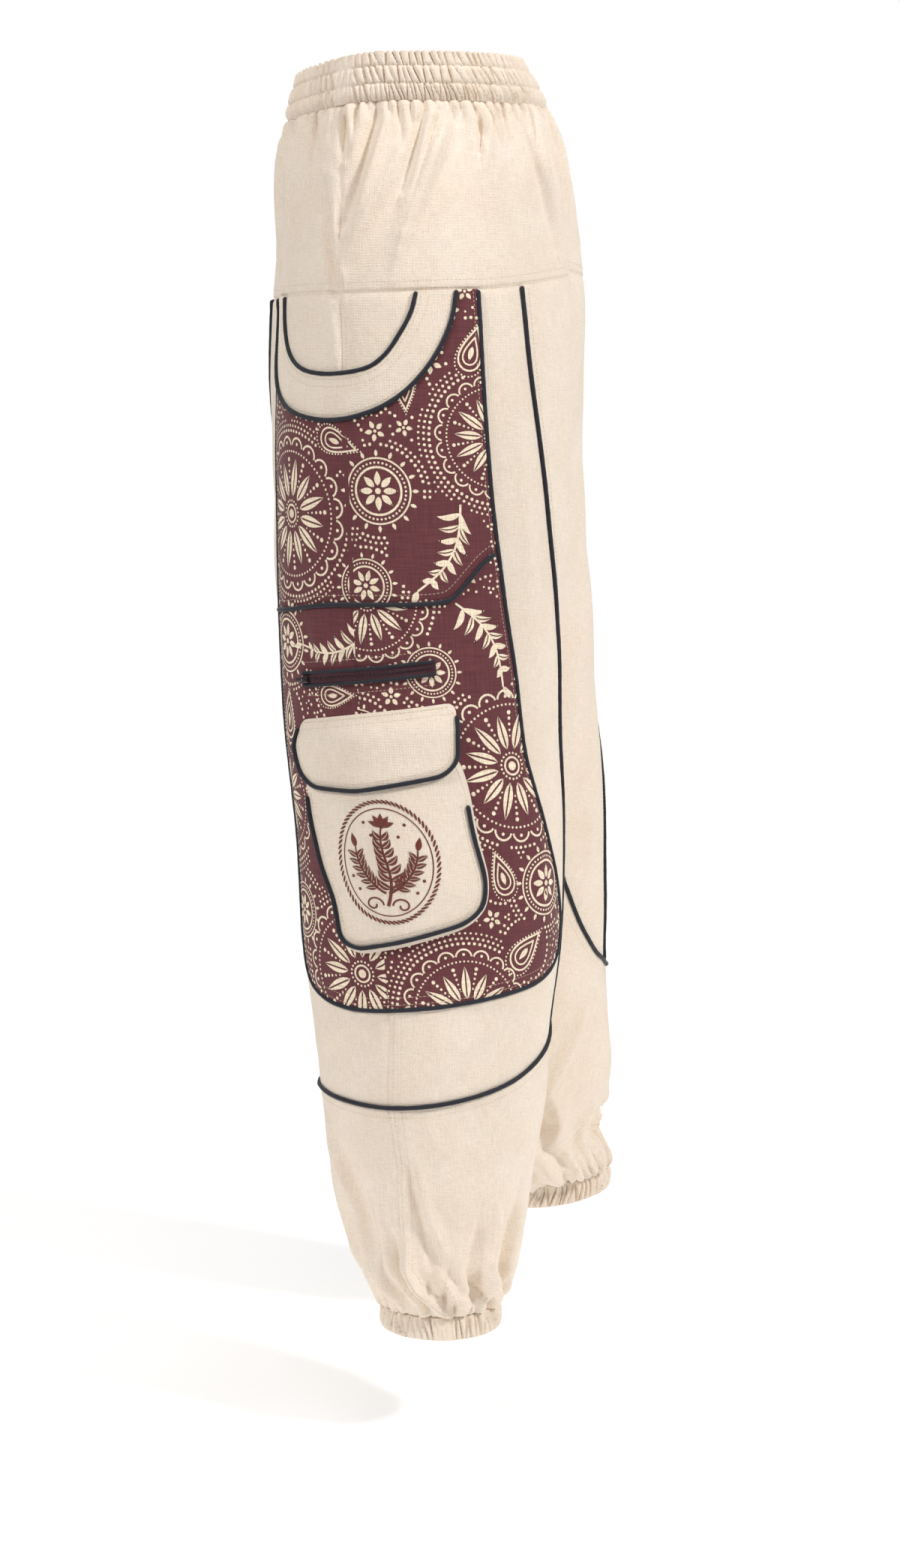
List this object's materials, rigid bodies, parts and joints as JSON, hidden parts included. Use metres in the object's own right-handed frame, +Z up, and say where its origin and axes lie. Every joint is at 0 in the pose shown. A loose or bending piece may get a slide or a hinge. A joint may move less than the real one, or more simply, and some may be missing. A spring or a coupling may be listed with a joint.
{
  "type": "harem pants",
  "caption": "Worn harem trousers with a gathered elastic waistband and cuffs, a low crotch, piped seams, printed side panels with scooped pockets, a zip pocket and flapped cargo pockets.",
  "frame": {"origin": "centre of the waist opening, level with the top of the waistband, where the wearer's waist holds the trousers", "axes": "+Z up along the wearer's body, -Y towards the wearer's front, +X towards the wearer's left"},
  "size_m": [0.4409, 0.3015, 1.0059],
  "materials": {
    "linen": "matt slubbed natural cotton",
    "print": "matt plum cotton with a cream print",
    "piping": "corded dark navy bias piping",
    "tape": "woven dark plum zip tape",
    "slider": "satin dark enamel"
  },
  "bodies": {
    "root": {"left_back_panel": "linen", "left_band_piping": "piping", "left_cargo_flap": "linen", "left_cargo_piping": "piping", "left_cargo_pocket": "linen", "left_cuff": "linen", "left_flap_piping": "piping", "left_front_panel": "linen", "left_lower_back": "linen", "left_lower_front": "linen", "left_lower_piping": "piping", "left_mouth_piping": "piping", "left_pocket_band": "linen", "left_pocket_piping": "piping", "left_print_back": "print", "left_print_front": "print", "left_print_piping": "piping", "left_seat_panel": "linen", "left_seat_piping": "piping", "left_upper_pocket": "print", "left_zip_slider": "slider", "left_zip_tape": "tape", "left_zip_welt_foot": "piping", "left_zip_welt_top": "piping", "right_back_panel": "linen", "right_band_piping": "piping", "right_cargo_flap": "linen", "right_cargo_piping": "piping", "right_cargo_pocket": "linen", "right_cuff": "linen", "right_flap_piping": "piping", "right_front_panel": "linen", "right_lower_back": "linen", "right_lower_front": "linen", "right_lower_piping": "piping", "right_mouth_piping": "piping", "right_pocket_band": "linen", "right_pocket_piping": "piping", "right_print_back": "print", "right_print_front": "print", "right_print_piping": "piping", "right_seat_panel": "linen", "right_seat_piping": "piping", "right_upper_pocket": "print", "right_zip_slider": "slider", "right_zip_tape": "tape", "right_zip_welt_foot": "piping", "right_zip_welt_top": "piping", "waistband": "linen", "yoke_back": "linen", "yoke_front": "linen"}
  },
  "joints": []
}
